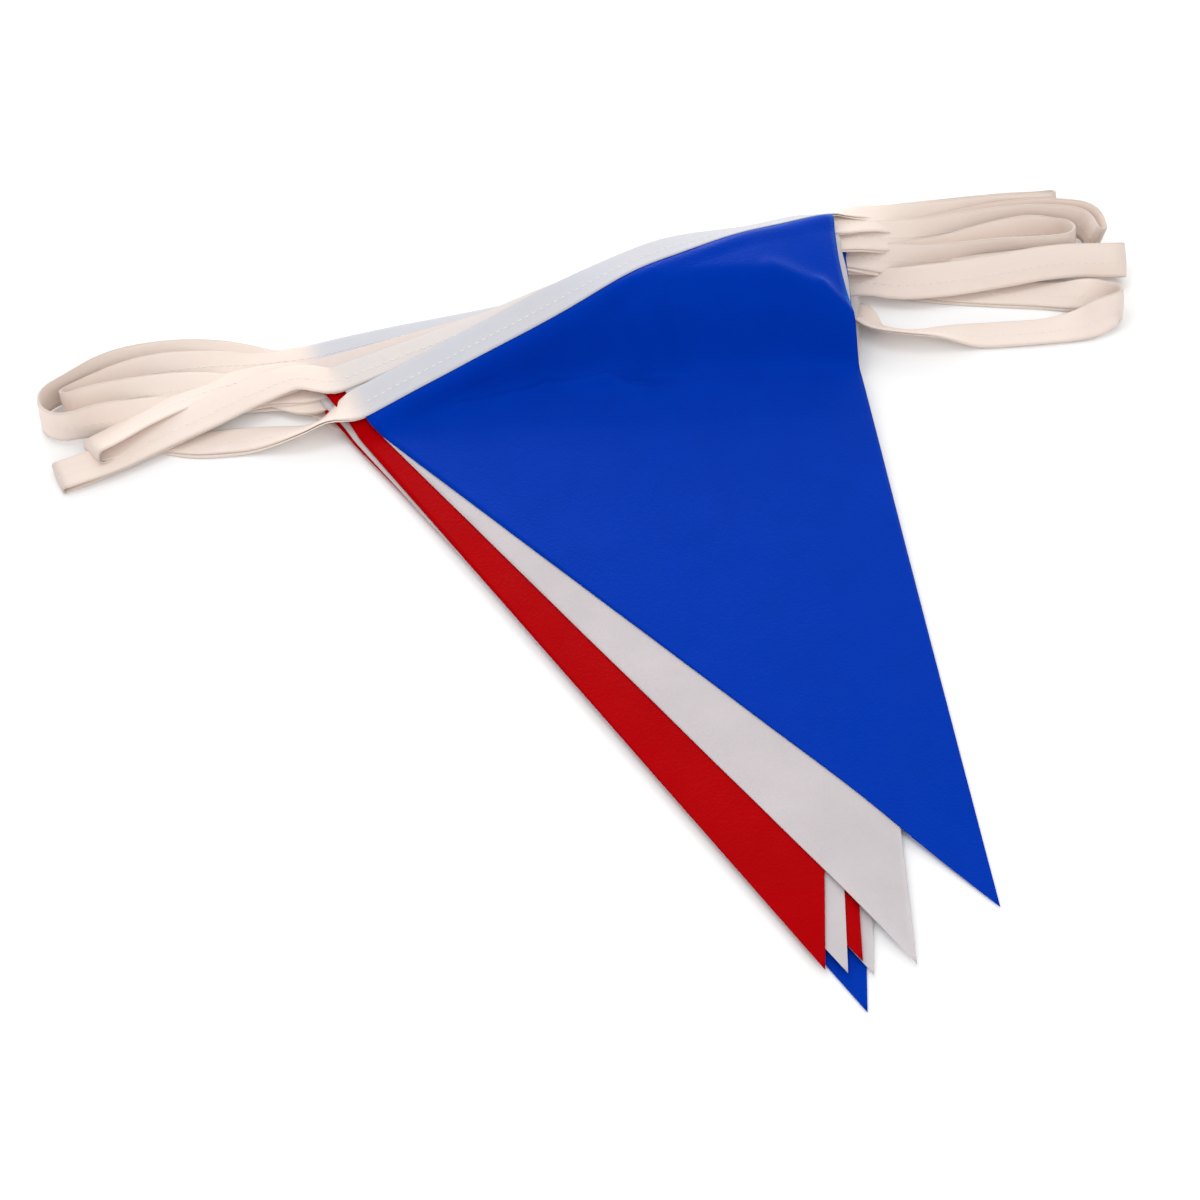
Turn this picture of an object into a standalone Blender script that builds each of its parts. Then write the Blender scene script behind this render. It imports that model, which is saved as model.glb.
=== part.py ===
"""Fabric bunting, gathered in a zigzag pile: ten triangular pennants, each with its top edge
inside one long tape that is folded over lengthwise, and the tape's turns at both sides."""
import math
import bpy
import bmesh
import numpy as np

MM = 0.001

# sizes, in millimetres; +Z is up, the pennants' tips point to -Y
PENNANT_WIDTH = 200.0      # along the open edge of the tape
FILM = 1.0                 # thickness of a pennant
TAPE_WALL = 1.0            # thickness of the tape
TAPE_FOLDED = 13.0         # width of the tape folded in half
SEWN_IN = 11.7             # how far a pennant reaches into the tape
SLOT_SEWN = 1.74           # inside the fold, round a pennant
SLOT_END = 0.5             # inside the fold, where its two layers come together
GAP = 0.6                  # between two pennants in the pile
CREST = 6.0                # the pile's ridge is level this far past the tape
FRONT_SLOPE = 36.0         # and falls to the front over this
BACK_SLOPE = 44.0          # and to the back over this
STRIP_END = 109.0          # half length of the tape's straight run over a pennant
STRIP_STATIONS = 15        # sections of the tape along that run
MOUTH = 1.0                # a pennant stays in the tape's plane this far past its open edge
BENDING = 8.0              # and comes down on the pile over this
CLOSING = 11.0             # length over which the fold closes past a pennant
DROOP = 110.0              # distance over which a sheet sinks past the ones under it
LEAVING = 14.0             # length over which it still lies at its height in the pile
KEEPING = 25.2             # how much further out a sheet does so beside the tape
SINKING = 20.0             # length over which the tape leaves that height
LEVELLING = 30.0           # length over which the tape levels out past a pennant
STEP = 2.5                 # spacing of the points at which the tape is laid down
LEG_STATIONS = 5.0         # spacing of its sections along a leg
TAIL_STATIONS = (4.0, 12.0)    # and along the first and the last free end
BEND_POINTS = 9            # points round a bend, and every one is kept
BEND_STATIONS = 0.1
STEEP = 0.55               # steepest slope of a leg of tape
TAIL_STEEP = 0.8           # and of the first free end
SMOOTHING = 8.0            # length over which a leg's height is evened out
LANDING = 12.0             # length over which a leg comes to its bend
UPRIGHT = 0.96             # part of a leg at whose end it stands as its bend does
PULL = 0.38                # how far a leg keeps its end directions, of its chord
CLEAR = 0.8                # between two turns of tape
NEAR_FILM = 4.0            # the tape keeps over a pennant from this far outside it
NEAR_TAPE = 3.2            # and over another turn of tape
CENTRE = (-2.6, 13.8)      # middle of the pile in plan

LIFT = (SLOT_SEWN - FILM) / 2 + TAPE_WALL       # the tape's extra over one face of a film
FREE_THICK = 2 * TAPE_WALL
GENTLE = 0.8               # part of the steepest slope that a landing may have
EDGE_HALF = 0.5            # half thickness allowed for over tape that stands on edge
NOTHING = -1e3             # height where there is nothing to lie on
ATTEMPTS = 3               # times that a bend is raised for its legs to come down gently

# top sheet first: name, colour, where its tip lies, how far it leans to the left, and its length
# from the open edge of the tape to the tip
PENNANTS = (
    dict(name="pennant_1", colour="blue", tip_x=136.9, tip_y=-139.4, lean=26.8, length=300.0),
    dict(name="pennant_2", colour="white", tip_x=107.0, tip_y=-164.1, lean=20.3, length=314.0),
    dict(name="pennant_3", colour="red", tip_x=75.8, tip_y=-167.4, lean=16.3, length=308.0),
    dict(name="pennant_4", colour="blue", tip_x=104.5, tip_y=-155.0, lean=19.8, length=306.0),
    dict(name="pennant_5", colour="white", tip_x=83.4, tip_y=-168.6, lean=17.7, length=308.0),
    dict(name="pennant_6", colour="red", tip_x=88.6, tip_y=-163.5, lean=19.3, length=303.0),
    dict(name="pennant_7", colour="blue", tip_x=80.0, tip_y=-146.0, lean=17.5, length=305.0),
    dict(name="pennant_8", colour="white", tip_x=92.2, tip_y=-168.5, lean=16.8, length=303.0),
    dict(name="pennant_9", colour="red", tip_x=85.0, tip_y=-151.0, lean=18.0, length=300.0),
    dict(name="pennant_10", colour="blue", tip_x=89.4, tip_y=-183.2, lean=16.4, length=302.0),
)

# a turn of tape from pennant n to n + 1, odd ones on the right: where the turn's centre lies,
# its heading, its width, how far it stands up on edge, the part of each leg that stays flat,
# and how far the upper and lower leg bow to the back
TURNS = (
    dict(after=1, x=204, y=159, heading=5, spread=6, tilt=-8, flat=0.5, bow_up=0, bow_low=0),
    dict(after=2, x=-197, y=53, heading=205, spread=6, tilt=8, flat=0.5, bow_up=9, bow_low=8),
    dict(after=3, x=181, y=181, heading=14, spread=26, tilt=85, flat=0.4, bow_up=-2, bow_low=3),
    dict(after=4, x=-185, y=66, heading=203, spread=7, tilt=-30, flat=0.6, bow_up=7, bow_low=6),
    dict(after=5, x=177, y=180, heading=12, spread=10, tilt=85, flat=0.4, bow_up=0, bow_low=2),
    dict(after=6, x=-190, y=89, heading=192, spread=6, tilt=12, flat=0.6, bow_up=3, bow_low=4),
    dict(after=7, x=172, y=203, heading=16, spread=7, tilt=-40, flat=0.4, bow_up=2, bow_low=2),
    dict(after=8, x=-199, y=89, heading=194, spread=27, tilt=80, flat=0.6, bow_up=3, bow_low=9),
    dict(after=9, x=193, y=151, heading=6, spread=18, tilt=-75, flat=0.5, bow_up=-2, bow_low=-6),
)

# the tape's two free ends, both on the left: where each stops, its heading there, its half
# turns and the part of its length in which it makes them
TAILS = (
    dict(pennant=1, x=-162.0, y=66.0, heading=176.0, bow=-8.0, half_turns=1, start=0.1, end=0.75),
    dict(pennant=10, x=-140.0, y=78.0, heading=184.0, bow=0.0, half_turns=0, start=0.0, end=1.0),
)

MATERIALS = {
    "blue": ("film_blue", (0.005, 0.055, 0.47, 1.0), 0.32),
    "white": ("film_white", (0.80, 0.79, 0.80, 1.0), 0.32),
    "red": ("film_red", (0.50, 0.003, 0.006, 1.0), 0.32),
    "tape": ("tape_weave", (0.86, 0.80, 0.75, 1.0), 0.85),
}


def ease(u):
    u = np.clip(u, 0.0, 1.0)
    return u * u * (3.0 - 2.0 * u)


class Sheet:
    """Plan of one pennant: s runs along its top edge, t from the tape's open edge to the tip."""

    def __init__(self, row):
        lean = math.radians(row["lean"])
        self.length = row["length"]
        self.half_tip = math.atan2(PENNANT_WIDTH / 2, self.length)
        self.up = np.array([-math.sin(lean), math.cos(lean)])
        self.side = np.array([math.cos(lean), math.sin(lean)])
        self.top = np.array([row["tip_x"], row["tip_y"]]) + self.length * self.up

    def plan(self, s, t):
        return self.top + s * self.side - t * self.up

    def local(self, xy):
        d = np.asarray(xy) - self.top
        return d @ self.side, -(d @ self.up)

    def past_side(self, s, t):
        """Distance past the nearer slanting side, negative inside."""
        return np.abs(s) * math.cos(self.half_tip) - (self.length - t) * math.sin(self.half_tip)

    def outside(self, xy):
        """Distance past the outline, negative inside."""
        s, t = self.local(xy)
        return np.maximum(self.past_side(s, t), -t - TAPE_FOLDED)

    def cover(self, xy):
        """1 over this pennant and its tape, easing to 0 away from them."""
        s, t = self.local(xy)
        edge = self.past_side(s, t) - KEEPING * (1.0 - ease(t / FRONT_SLOPE))
        return 1.0 - ease(np.maximum(edge, -t - TAPE_FOLDED) / DROOP)

    def bulk(self, xy):
        """1 over the tape of this pennant, easing to 0 down both slopes of the ridge."""
        s, t = self.local(xy)
        front = ease((t - CREST) / FRONT_SLOPE)
        back = ease((-t - TAPE_FOLDED - CREST) / BACK_SLOPE)
        return (1.0 - front) * (1.0 - back)


SHEETS = [Sheet(row) for row in PENNANTS]


def height(k, xy):
    """Height of the middle of sheet k, lying on all the sheets under it."""
    z = FILM / 2 + LIFT * SHEETS[k].bulk(xy)
    for under in SHEETS[k + 1:]:
        z = z + (FILM + GAP + 2 * LIFT * under.bulk(xy)) * under.cover(xy)
    return z


# rows of a pennant's mesh, from the open edge of the tape, and the tape's sections along it
ROWS = (MOUTH, 5, 10, 15, 20, 26, 32, 39, 46, 53, 61, 70, 80, 90, 104,
        120, 136, 152, 168, 184, 200, 216, 232, 248, 264, 282)
ALONG = np.linspace(-STRIP_END, STRIP_END, STRIP_STATIONS)


def strip_station(k, s):
    """Centre of the folded tape over pennant k, and the way across it to the fold."""
    sheet = SHEETS[k]
    fold, mid, mouth = (height(k, sheet.plan(s, t)) for t in (-TAPE_FOLDED, -TAPE_FOLDED / 2, 0.0))
    centre = np.append(sheet.plan(s, -TAPE_FOLDED / 2), max(mid, (fold + mouth) / 2))
    return np.concatenate([centre, sheet.up * TAPE_FOLDED, [fold - mouth]])


STRIPS = [np.array([strip_station(k, s) for s in ALONG]) for k in range(len(PENNANTS))]


def strip(k, s):
    """The same between two stations, straight from one to the next."""
    row = np.array([np.interp(s, ALONG, column) for column in STRIPS[k].T])
    return row[:3], row[3:] / np.linalg.norm(row[3:])


def film_point(k, s, t):
    """A point in the middle of film k: flat across in the tape, then on the pile."""
    xy = SHEETS[k].plan(s, t)
    centre, across = strip(k, s)
    sewn = centre - across * (t + TAPE_FOLDED / 2)
    loose = np.append(xy, height(k, xy))
    w = float(ease((t - MOUTH) / BENDING))
    return sewn * (1 - w) + loose * w


def film_mesh(k):
    """Flat outline cut into rows and columns, laid on the pile and given thickness."""
    bm = bmesh.new()
    length = SHEETS[k].length
    half = (length + SEWN_IN) * math.tan(SHEETS[k].half_tip)
    corners = ((-half, -SEWN_IN, 0.0), (half, -SEWN_IN, 0.0), (0.0, length, 0.0))
    bm.faces.new([bm.verts.new(point) for point in corners])

    def cut(point, normal):
        geom = bm.verts[:] + bm.edges[:] + bm.faces[:]
        bmesh.ops.bisect_plane(bm, geom=geom, dist=1e-4, plane_co=point, plane_no=normal)

    for t in ROWS:
        cut((0.0, t, 0.0), (0.0, 1.0, 0.0))
    for s in ALONG[1:-1]:
        cut((s, 0.0, 0.0), (1.0, 0.0, 0.0))
    bmesh.ops.remove_doubles(bm, verts=bm.verts[:], dist=0.05)
    flat = bm.verts[:]
    shear, eps = 0.05, 0.5
    # sheared while it is split, so that every diagonal runs the same way as the tape's
    for v in flat:
        v.co.x -= shear * v.co.y
    bmesh.ops.triangulate(bm, faces=bm.faces[:], quad_method='SHORT_EDGE', ngon_method='BEAUTY')
    for v in flat:
        v.co.x += shear * v.co.y
    shift = {}
    for v in flat:
        s, t = v.co.x, v.co.y
        p = film_point(k, s, t)
        ds = film_point(k, s + eps, t) - film_point(k, s - eps, t)
        dt = film_point(k, s, t - eps) - film_point(k, s, t + eps)
        n = np.cross(ds, dt)
        n /= np.linalg.norm(n)
        v.co = p
        shift[v] = n * FILM / 2
    copy = bmesh.ops.duplicate(bm, geom=bm.verts[:] + bm.edges[:] + bm.faces[:])
    twin = {v: copy["vert_map"][v] for v in flat}
    rim = [e for e in bm.edges if e.is_boundary and e.verts[0] in twin and e.verts[1] in twin]
    for v in flat:
        low = twin[v]
        low.co = np.array(v.co) - shift[v]
        v.co = np.array(v.co) + shift[v]
    for e in rim:
        a, b = e.verts
        bm.faces.new((a, b, twin[b]))
        bm.faces.new((a, twin[b], twin[a]))
    bmesh.ops.recalc_face_normals(bm, faces=bm.faces[:])
    return bm


# ---- the tape's turns, laid down from the lowest up

class Run:
    """A row of points along the tape, STEP apart: plan position, stand on edge, height."""

    def __init__(self, plan, tilt, back, roll=0.0):
        self.plan, self.back = plan, back
        step = np.linalg.norm(np.diff(plan, axis=0), axis=1)
        self.arc = np.concatenate([[0.0], np.cumsum(step)])
        self.tilt = tilt + roll * (1.0 - ease(self.arc / LEVELLING))
        self.z = np.zeros(len(plan))

    def samples(self):
        """Points across the tape: plan, and how far the tape reaches over and under its centre."""
        across = []
        for part in (-1.0, -0.5, 0.0, 0.5, 1.0):
            reach = part * TAPE_FOLDED / 2
            xy = self.plan + self.back * (reach * np.cos(self.tilt))[:, None]
            mid = reach * np.sin(self.tilt)
            half = FREE_THICK / 2 * np.abs(np.cos(self.tilt)) + EDGE_HALF * np.abs(np.sin(self.tilt))
            across.append((xy, mid, half))
        return across


def need(run, laid, k):
    """Lowest height of the tape's centre at each point of a run, over the floor and what is laid."""
    low = np.full(len(run.plan), 0.0)
    for xy, mid, half in run.samples():
        low = np.maximum(low, half - mid)
        for under in SHEETS[k + 1:]:
            near = under.outside(xy) < NEAR_FILM
            pile = height(k, xy) - LIFT * SHEETS[k].bulk(xy) - FILM / 2 + GAP
            low = np.where(near, np.maximum(low, pile + half - mid), low)
        for points, tops in laid:
            dist = np.linalg.norm(xy[:, None, :] - points[None, :, :], axis=2)
            over = np.where(dist < NEAR_TAPE, tops[None, :], NOTHING).max(axis=1)
            low = np.maximum(low, over + CLEAR + half - mid)
    return low


def rest(arc, low, pile, finish, steep=STEEP):
    """Smooth height along a leg: at first that of the pile, then never under low, up to finish.
    Also how far the finish is too low for the last stretch to come down gently."""
    low = np.where(arc < LEAVING, NOTHING, low)
    low[0] = pile
    low[-1] = max(low[-1], finish)
    span = np.abs(arc[:, None] - arc[None, :])
    hull = (low[None, :] - steep * span).max(axis=1)
    grown = np.where(span <= SMOOTHING, hull[None, :], NOTHING).max(axis=1)
    weight = np.clip(1.0 - span / SMOOTHING, 0.0, None)
    smooth = (weight * grown[None, :]).sum(axis=1) / weight.sum(axis=1)
    a = ease((arc - LEAVING) / SINKING)
    b = ease((arc[-1] - arc) / LANDING)
    smooth = pile * (1 - a) + smooth * a
    drop = np.interp(arc[-1] - LANDING, arc, smooth) - finish - GENTLE * steep * LANDING
    return finish * (1 - b) + smooth * b, drop


def leg_plan(p0, dir0, p1, dir1, bow):
    """Plan curve from p0 to p1 with given end directions, bowed to the back in its middle."""
    chord = np.linalg.norm(p1 - p0)
    count = max(8, int(round(chord * 1.03 / STEP)))
    u = np.linspace(0.0, 1.0, count + 1)[:, None]
    a, b = p0 + dir0 * chord * PULL, p1 - dir1 * chord * PULL
    curve = (1 - u) ** 3 * p0 + 3 * u * (1 - u) ** 2 * a + 3 * u * u * (1 - u) * b + u ** 3 * p1
    along = (p1 - p0) / chord
    side = np.array([-along[1], along[0]])
    if side[1] < 0:
        side = -side
    return curve + side * (bow * np.sin(math.pi * u) ** 2), u[:, 0]


def backward(plan):
    """Level direction across a run, on the fold's side."""
    step = np.gradient(plan, axis=0)
    step /= np.linalg.norm(step, axis=1)[:, None]
    side = np.stack([-step[:, 1], step[:, 0]], axis=1)
    side[side[:, 1] < 0] *= -1
    return side


def exit_of(k, side):
    """Where the tape leaves pennant k on one side (+1 right), with its outward direction."""
    centre, across = strip(k, side * STRIP_END)
    inner, _ = strip(k, side * (STRIP_END - 2.0))
    out = centre - inner
    return centre, out / np.linalg.norm(out), math.asin(across[2])


def turn_runs(row, laid):
    """Upper leg, bend and lower leg of one turn, as stations (centre, direction to the fold)."""
    k = row["after"] - 1
    side = 1 if row["after"] % 2 else -1
    upper, out_u, roll_u = exit_of(k, side)
    lower, out_l, roll_l = exit_of(k + 1, side)
    head = math.radians(row["heading"])
    ahead = np.array([math.cos(head), math.sin(head)])
    back = np.array([-ahead[1], ahead[0]])
    if back[1] < 0:
        back = -back
    tilt = math.radians(row["tilt"])
    radius = row["spread"] / 2
    centre = np.array([row["x"], row["y"]])
    angles = np.linspace(0.0, math.pi, BEND_POINTS)
    bend_plan = (centre + np.outer(np.sin(angles), ahead) * radius
                 - np.outer(np.cos(angles), back) * radius * math.sin(tilt))
    bend_rel = radius * math.cos(tilt) * np.cos(angles)
    bend = Run(bend_plan, np.full(len(angles), tilt), np.tile(back, (len(angles), 1)))

    legs = []
    for start, out, roll, meet, bow in ((upper, out_u, roll_u, bend_plan[0], row["bow_up"]),
                                        (lower, out_l, roll_l, bend_plan[-1], row["bow_low"])):
        flat_out = out[:2] / np.linalg.norm(out[:2])
        plan, u = leg_plan(start[:2], flat_out, meet, ahead, bow)
        lean = tilt * ease((u - row["flat"]) / (UPRIGHT - row["flat"]))
        legs.append(Run(plan, lean, backward(plan), roll))
    up_leg, low_leg = legs
    low_need = need(low_leg, laid, k + 1)
    base = (need(bend, laid, k) - bend_rel).max()
    base = max(base, (low_need - STEEP * (low_leg.arc[-1] - low_leg.arc)).max() - bend_rel[-1])
    for attempt in range(ATTEMPTS):
        bend.z = base + bend_rel
        low_leg.z, low_drop = rest(low_leg.arc, low_need, lower[2], bend.z[-1])
        own = laid + [taken_up(low_leg, spare=LANDING - 2.0)]
        up_leg.z, up_drop = rest(up_leg.arc, need(up_leg, own, k), upper[2], bend.z[0])
        base += max(low_drop, up_drop, 0.0)
    for run in (low_leg, bend, up_leg):
        laid.append(taken_up(run))
    return up_leg, bend, low_leg


def taken_up(run, skip=0.0, spare=0.0):
    """What a laid run takes up, but for its first and last stretch: plan points and their tops."""
    keep = (run.arc >= skip) & (run.arc <= run.arc[-1] - spare)
    points, tops = [], []
    for xy, mid, half in run.samples():
        points.append(xy[keep])
        tops.append((run.z + mid + half)[keep])
    return np.concatenate(points), np.concatenate(tops)


def tail_run(row, laid, steep):
    """One free end of the tape."""
    k = row["pennant"] - 1
    start, out, roll = exit_of(k, -1)
    head = math.radians(row["heading"])
    ahead = np.array([math.cos(head), math.sin(head)])
    flat_out = out[:2] / np.linalg.norm(out[:2])
    plan, u = leg_plan(start[:2], flat_out, np.array([row["x"], row["y"]]), ahead, row["bow"])
    turn = math.pi * row["half_turns"] * ease((u - row["start"]) / (row["end"] - row["start"]))
    run = Run(plan, turn, backward(plan), roll)
    low = need(run, laid, k)
    run.z, _ = rest(run.arc, low, start[2], low[-1], steep)
    laid.append(taken_up(run, skip=LEVELLING))
    return run


def pick(run, spacing):
    """Indices of the stations kept of a run, about the given distance apart."""
    count = max(2, int(round(run.arc[-1] / spacing)))
    return sorted({int(round(i)) for i in np.linspace(0, len(run.arc) - 1, count + 1)})


def stations_of(run, spacing, slots):
    """Stations (centre, to the fold, slot) picked from a run."""
    rows = []
    for i in pick(run, spacing):
        centre = np.append(run.plan[i], run.z[i])
        across = np.append(run.back[i] * math.cos(run.tilt[i]), math.sin(run.tilt[i]))
        rows.append((centre, across, slots(run.arc[i])))
    return rows


def tape_path():
    """All stations of the tape from the first free end to the last one; no slot where it is shut."""
    def closing(arc):
        if arc > CLOSING:
            return None
        return SLOT_SEWN + (SLOT_END - SLOT_SEWN) * float(ease(arc / CLOSING))

    laid = []
    last_tail = tail_run(TAILS[1], laid, STEEP)
    first_tail = tail_run(TAILS[0], laid, TAIL_STEEP)
    turns = {}
    for row in sorted(TURNS, key=lambda r: -r["after"]):
        turns[row["after"]] = turn_runs(row, laid)

    path = list(reversed(stations_of(first_tail, TAIL_STATIONS[0], closing)))
    for k in range(len(PENNANTS)):
        side = 1 if k % 2 == 0 else -1
        for s in (ALONG * side)[1:-1]:
            centre, across = strip(k, s)
            path.append((centre, across, SLOT_SEWN))
        if k + 1 in turns:
            up_leg, bend, low_leg = turns[k + 1]
            path += stations_of(up_leg, LEG_STATIONS, closing)[:-1]
            path += stations_of(bend, BEND_STATIONS, lambda arc: None)
            path += list(reversed(stations_of(low_leg, LEG_STATIONS, closing)))[1:]
    path += stations_of(last_tail, TAIL_STATIONS[1], closing)
    return path


def quad(bm, a, b, c, d, turned=False):
    """Two triangles, split from a to c, or from b to d where turned."""
    if turned:
        bm.faces.new((a, b, d))
        bm.faces.new((b, c, d))
    else:
        bm.faces.new((a, b, c))
        bm.faces.new((a, c, d))


def tape_mesh():
    """Folded section swept along the path: open round a pennant, two layers sewn together elsewhere."""
    path = tape_path()
    centres = np.array([p[0] for p in path])
    along = np.gradient(centres, axis=0)
    along /= np.linalg.norm(along, axis=1)[:, None]
    bm = bmesh.new()
    rings = []
    for (centre, across, slot), t in zip(path, along):
        w = across - t * (across @ t)
        w /= np.linalg.norm(w)
        n = np.cross(t, w)
        half = TAPE_FOLDED / 2
        outer = TAPE_WALL + (slot or 0.0) / 2
        profile = [(-half, outer), (half, outer), (half, -outer), (-half, -outer)]
        if slot:
            profile += [(-half, -slot / 2), (half - TAPE_WALL, -slot / 2),
                        (half - TAPE_WALL, slot / 2), (-half, slot / 2)]
        rings.append([bm.verts.new(centre + w * a + n * b) for a, b in profile])
    for one, two in zip(rings, rings[1:]):
        for i in range(3):
            quad(bm, one[i], one[i + 1], two[i + 1], two[i], turned=i == 0)
        if len(one) == len(two):
            for i in range(3, len(one)):
                quad(bm, one[i], one[(i + 1) % len(one)], two[(i + 1) % len(two)], two[i], turned=i == 4)
        else:
            wide, narrow = (one, two) if len(one) > len(two) else (two, one)
            bm.faces.new((wide[3], wide[4], narrow[3]))
            quad(bm, wide[4], wide[7], narrow[0], narrow[3])
            bm.faces.new((wide[7], wide[0], narrow[0]))
            bm.faces.new(wide[4:8])
    for ring in (rings[0], rings[-1]):
        bm.faces.new(ring)
    bmesh.ops.recalc_face_normals(bm, faces=bm.faces[:])
    bmesh.ops.triangulate(bm, faces=bm.faces[:], quad_method='SHORT_EDGE')
    return bm


def material(key):
    name, colour, rough = MATERIALS[key]
    mat = bpy.data.materials.new(name)
    mat.use_nodes = True
    shader = mat.node_tree.nodes["Principled BSDF"]
    shader.inputs["Base Color"].default_value = colour
    shader.inputs["Roughness"].default_value = rough
    mat.diffuse_color = colour
    return mat


def add(name, bm, mat):
    for v in bm.verts:
        v.co.x = (v.co.x - CENTRE[0]) * MM
        v.co.y = (v.co.y - CENTRE[1]) * MM
        v.co.z = v.co.z * MM
    mesh = bpy.data.meshes.new(name)
    bm.to_mesh(mesh)
    bm.free()
    mesh.materials.append(mat)
    obj = bpy.data.objects.new(name, mesh)
    bpy.context.scene.collection.objects.link(obj)
    return obj


def main():
    for obj in list(bpy.data.objects):
        bpy.data.objects.remove(obj, do_unlink=True)
    mats = {key: material(key) for key in MATERIALS}
    for k, row in enumerate(PENNANTS):
        add(row["name"], film_mesh(k), mats[row["colour"]])
    add("tape", tape_mesh(), mats["tape"])


main()
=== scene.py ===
"""Fabric bunting gathered in a pile: ten pennants of thin film on one folded tape, dressed over
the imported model. Laid out as an add-on and run as a script."""

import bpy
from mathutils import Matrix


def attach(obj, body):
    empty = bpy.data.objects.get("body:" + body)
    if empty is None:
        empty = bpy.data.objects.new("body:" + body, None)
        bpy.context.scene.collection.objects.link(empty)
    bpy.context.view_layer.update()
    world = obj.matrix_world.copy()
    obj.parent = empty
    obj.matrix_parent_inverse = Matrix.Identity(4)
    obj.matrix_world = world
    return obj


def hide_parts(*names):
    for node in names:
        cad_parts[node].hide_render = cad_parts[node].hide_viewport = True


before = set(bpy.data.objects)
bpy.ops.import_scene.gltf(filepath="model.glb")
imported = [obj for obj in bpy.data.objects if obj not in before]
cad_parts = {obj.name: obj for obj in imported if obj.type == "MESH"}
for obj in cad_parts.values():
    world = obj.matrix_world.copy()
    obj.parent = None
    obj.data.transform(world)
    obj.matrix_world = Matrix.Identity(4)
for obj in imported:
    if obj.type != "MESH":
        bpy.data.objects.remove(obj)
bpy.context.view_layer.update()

import math
import bmesh
import bpy
import numpy as np
from bpy.props import FloatProperty, FloatVectorProperty, PointerProperty
from bpy.types import Operator, Panel, PropertyGroup
from mathutils import Matrix, Vector, noise

bl_info = {
    "name": "Fabric bunting",
    "version": (1, 0, 0),
    "blender": (4, 5, 0),
    "location": "3D View > Sidebar > Bunting",
    "description": "Ten film pennants on one folded tape, gathered in a pile",
    "category": "Add Mesh",
}

MM = 0.001
IN_MM, HALF_IN_MM = 1000.0, 500.0     # turn one of the settings' sizes into mm, and half of it
CENTRE = (-2.6, 13.8)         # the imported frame's origin in the plan of the tables below, which are in mm

# top sheet first: name, film, where its tip lies, how far it leans to the left, its length in plan,
# and how far its right edge bows out (or in) where it goes over the ridge
PENNANTS = (
    dict(name="pennant_1", film="blue", tip_x=136.6, tip_y=-139.4, lean=26.8, length=300.0, edge=-2.6),
    dict(name="pennant_2", film="white", tip_x=106.8, tip_y=-164.6, lean=20.3, length=315.0, edge=3.2),
    dict(name="pennant_3", film="red", tip_x=75.8, tip_y=-167.4, lean=16.3, length=309.0),
    dict(name="pennant_4", film="blue", tip_x=104.5, tip_y=-155.0, lean=19.8, length=307.0, edge=0.9),
    dict(name="pennant_5", film="white", tip_x=83.4, tip_y=-168.6, lean=17.7, length=309.0),
    dict(name="pennant_6", film="red", tip_x=88.6, tip_y=-163.5, lean=18.9, length=303.0),
    dict(name="pennant_7", film="blue", tip_x=80.0, tip_y=-146.0, lean=17.5, length=305.0),
    dict(name="pennant_8", film="white", tip_x=92.2, tip_y=-168.5, lean=16.8, length=304.0),
    dict(name="pennant_9", film="red", tip_x=85.0, tip_y=-151.0, lean=18.0, length=300.0),
    dict(name="pennant_10", film="blue", tip_x=89.4, tip_y=-183.2, lean=16.4, length=308.0),
)

# the ridge that the folded tapes make under the top film: at each x, where its foot, its front
# edge, its top, its back edge and its heel lie, and how high they stand
RIDGE = (
    dict(x=-150, foot=58, edge=70, edge_z=0.6, top=84, top_z=1.0, back=100, back_z=1.0, heel=112),
    dict(x=-112, foot=68, edge=86, edge_z=3.0, top=105, top_z=5.0, back=124, back_z=4.5, heel=138),
    dict(x=-87, foot=77, edge=87, edge_z=5.0, top=107, top_z=8.5, back=130, back_z=7.0, heel=143),
    dict(x=-53, foot=93, edge=102, edge_z=13.0, top=116, top_z=15.5, back=134, back_z=11.0, heel=149),
    dict(x=-15, foot=104, edge=121, edge_z=22.0, top=133, top_z=25.0, back=143, back_z=20.0, heel=160),
    dict(x=22, foot=107, edge=134, edge_z=31.0, top=143, top_z=31.0, back=154.5, back_z=28.0, heel=176),
    dict(x=56, foot=110, edge=137, edge_z=31.5, top=156, top_z=30.0, back=168, back_z=22.5, heel=189),
    dict(x=85, foot=113, edge=131, edge_z=23.5, top=158, top_z=25.5, back=174, back_z=23.5, heel=197),
    dict(x=102, foot=113, edge=123, edge_z=14.5, top=150, top_z=18.0, back=174, back_z=19.0, heel=198),
    dict(x=140, foot=118, edge=130, edge_z=4.0, top=158, top_z=6.0, back=176, back_z=4.0, heel=200),
)

# soft creases of the top film: from, to, width and height, a trough where negative
CREASES = (
    dict(x0=-84, y0=80, x1=-52, y1=92, wide=2.6, high=1.2),
    dict(x0=-52, y0=92, x1=-20, y1=102, wide=2.8, high=1.7),
    dict(x0=-20, y0=102, x1=3, y1=106, wide=2.8, high=2.2),
    dict(x0=3, y0=106, x1=18, y1=100, wide=3.0, high=1.8),
    dict(x0=18, y0=100, x1=46, y1=106, wide=4.5, high=0.8),
    dict(x0=-7, y0=121, x1=-6, y1=111, wide=1.9, high=2.2),
    dict(x0=1, y0=123, x1=3, y1=117, wide=1.8, high=1.7),
    dict(x0=10, y0=124, x1=14, y1=118, wide=1.9, high=1.6),
    dict(x0=9, y0=121, x1=15, y1=110, wide=5.5, high=-2.8),
    dict(x0=24, y0=127, x1=32, y1=112, wide=4.0, high=2.6),
    dict(x0=66, y0=138, x1=84, y1=133, wide=5.0, high=1.4),
    dict(x0=84, y0=133, x1=97, y1=124, wide=4.0, high=2.0),
)

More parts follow.
